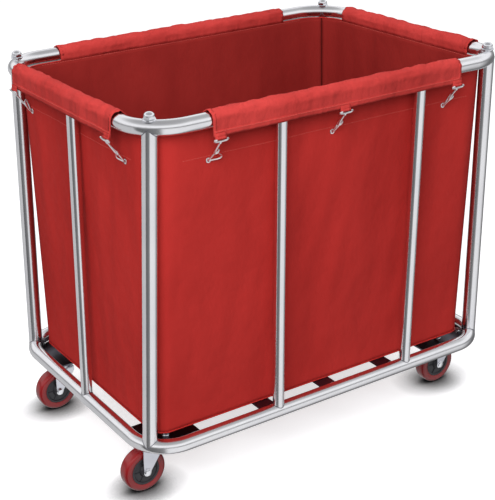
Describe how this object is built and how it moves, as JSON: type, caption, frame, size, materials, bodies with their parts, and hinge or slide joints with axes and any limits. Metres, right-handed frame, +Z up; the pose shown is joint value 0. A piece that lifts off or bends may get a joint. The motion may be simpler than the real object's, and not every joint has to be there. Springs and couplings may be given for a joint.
{
  "type": "linen trolley",
  "caption": "Hospital linen trolley: an open red cloth bag hung in a tubular steel frame on swivel casters.",
  "frame": {"origin": "on the floor, under the middle of the trolley", "axes": "+X along the length towards the right end, +Y across towards the back, +Z up"},
  "size_m": [0.967, 0.6862, 0.8698],
  "materials": {
    "brushed_steel": "satin brushed",
    "zinc": "bright zinc plated",
    "chrome": "polished",
    "red_tread": "smooth glossy",
    "black_hub": "moulded, satin",
    "red_cloth": "plain woven, sewn seams"
  },
  "bodies": {
    "frame": {"base_ring": "brushed_steel", "top_ring": "brushed_steel", "corner_post_fl": "brushed_steel", "corner_post_fr": "brushed_steel", "corner_post_br": "brushed_steel", "corner_post_bl": "brushed_steel", "post_left": "brushed_steel", "post_right": "brushed_steel", "post_front_1": "brushed_steel", "post_front_2": "brushed_steel", "post_back_1": "brushed_steel", "post_back_2": "brushed_steel", "acorn_nut_fl": "chrome", "acorn_nut_fr": "chrome", "acorn_nut_br": "chrome", "acorn_nut_bl": "chrome", "slat_left": "brushed_steel", "slat_middle": "brushed_steel", "slat_right": "brushed_steel", "mount_plate_fl": "brushed_steel", "mount_plate_fr": "brushed_steel", "mount_plate_br": "brushed_steel", "mount_plate_bl": "brushed_steel", "caster_fl_plate": "zinc", "caster_fr_plate": "zinc", "caster_br_plate": "zinc", "caster_bl_plate": "zinc", "bag_front": "red_cloth", "bag_back": "red_cloth", "bag_left": "red_cloth", "bag_right": "red_cloth", "bag_floor": "red_cloth"},
    "swivel_fl": {"caster_fl_fork": "zinc", "caster_fl_axle": "zinc"},
    "wheel_fl": {"caster_fl_tread": "red_tread", "caster_fl_hub": "black_hub"},
    "swivel_fr": {"caster_fr_fork": "zinc", "caster_fr_axle": "zinc"},
    "wheel_fr": {"caster_fr_tread": "red_tread", "caster_fr_hub": "black_hub"},
    "swivel_br": {"caster_br_fork": "zinc", "caster_br_axle": "zinc"},
    "wheel_br": {"caster_br_tread": "red_tread", "caster_br_hub": "black_hub"},
    "swivel_bl": {"caster_bl_fork": "zinc", "caster_bl_axle": "zinc"},
    "wheel_bl": {"caster_bl_tread": "red_tread", "caster_bl_hub": "black_hub"},
    "hook_front_1_body": {"hook_front_1": "zinc"},
    "hook_back_1_body": {"hook_back_1": "zinc"},
    "hook_front_2_body": {"hook_front_2": "zinc"},
    "hook_back_2_body": {"hook_back_2": "zinc"},
    "hook_front_3_body": {"hook_front_3": "zinc"},
    "hook_back_3_body": {"hook_back_3": "zinc"},
    "hook_left_1_body": {"hook_left_1": "zinc"},
    "hook_right_1_body": {"hook_right_1": "zinc"},
    "hook_left_2_body": {"hook_left_2": "zinc"},
    "hook_right_2_body": {"hook_right_2": "zinc"}
  },
  "joints": [
    {"name": "swivel_fl_turn", "type": "hinge", "parent": "frame", "child": "swivel_fl", "pos_m": [-0.42, -0.21, 0.116], "axis": [0, 0, 1], "continuous": true},
    {"name": "wheel_fl_roll", "type": "hinge", "parent": "swivel_fl", "child": "wheel_fl", "pos_m": [-0.435, -0.21, 0.05], "axis": [0, 1, 0], "continuous": true},
    {"name": "swivel_fr_turn", "type": "hinge", "parent": "frame", "child": "swivel_fr", "pos_m": [0.42, -0.21, 0.116], "axis": [0, 0, 1], "continuous": true},
    {"name": "wheel_fr_roll", "type": "hinge", "parent": "swivel_fr", "child": "wheel_fr", "pos_m": [0.405, -0.21, 0.05], "axis": [0, 1, 0], "continuous": true},
    {"name": "swivel_br_turn", "type": "hinge", "parent": "frame", "child": "swivel_br", "pos_m": [0.42, 0.21, 0.116], "axis": [0, 0, 1], "continuous": true},
    {"name": "wheel_br_roll", "type": "hinge", "parent": "swivel_br", "child": "wheel_br", "pos_m": [0.405, 0.21, 0.05], "axis": [0, 1, 0], "continuous": true},
    {"name": "swivel_bl_turn", "type": "hinge", "parent": "frame", "child": "swivel_bl", "pos_m": [-0.42, 0.21, 0.116], "axis": [0, 0, 1], "continuous": true},
    {"name": "wheel_bl_roll", "type": "hinge", "parent": "swivel_bl", "child": "wheel_bl", "pos_m": [-0.435, 0.21, 0.05], "axis": [0, 1, 0], "continuous": true},
    {"name": "hook_front_1_swing", "type": "hinge", "parent": "frame", "child": "hook_front_1_body", "pos_m": [-0.304, -0.3405, 0.8005], "axis": [-1, 0, 0], "range_deg": [0, 100]},
    {"name": "hook_back_1_swing", "type": "hinge", "parent": "frame", "child": "hook_back_1_body", "pos_m": [-0.304, 0.3405, 0.8005], "axis": [1, 0, 0], "range_deg": [0, 100]},
    {"name": "hook_front_2_swing", "type": "hinge", "parent": "frame", "child": "hook_front_2_body", "pos_m": [-0.004, -0.3405, 0.8005], "axis": [-1, 0, 0], "range_deg": [0, 100]},
    {"name": "hook_back_2_swing", "type": "hinge", "parent": "frame", "child": "hook_back_2_body", "pos_m": [-0.004, 0.3405, 0.8005], "axis": [1, 0, 0], "range_deg": [0, 100]},
    {"name": "hook_front_3_swing", "type": "hinge", "parent": "frame", "child": "hook_front_3_body", "pos_m": [0.298, -0.3405, 0.8005], "axis": [-1, 0, 0], "range_deg": [0, 100]},
    {"name": "hook_back_3_swing", "type": "hinge", "parent": "frame", "child": "hook_back_3_body", "pos_m": [0.298, 0.3405, 0.8005], "axis": [1, 0, 0], "range_deg": [0, 100]},
    {"name": "hook_left_1_swing", "type": "hinge", "parent": "frame", "child": "hook_left_1_body", "pos_m": [-0.4785, -0.208, 0.8005], "axis": [0, 1, 0], "range_deg": [0, 100]},
    {"name": "hook_right_1_swing", "type": "hinge", "parent": "frame", "child": "hook_right_1_body", "pos_m": [0.4785, -0.208, 0.8005], "axis": [0, -1, 0], "range_deg": [0, 100]},
    {"name": "hook_left_2_swing", "type": "hinge", "parent": "frame", "child": "hook_left_2_body", "pos_m": [-0.4785, 0.208, 0.8005], "axis": [0, 1, 0], "range_deg": [0, 100]},
    {"name": "hook_right_2_swing", "type": "hinge", "parent": "frame", "child": "hook_right_2_body", "pos_m": [0.4785, 0.208, 0.8005], "axis": [0, -1, 0], "range_deg": [0, 100]}
  ]
}
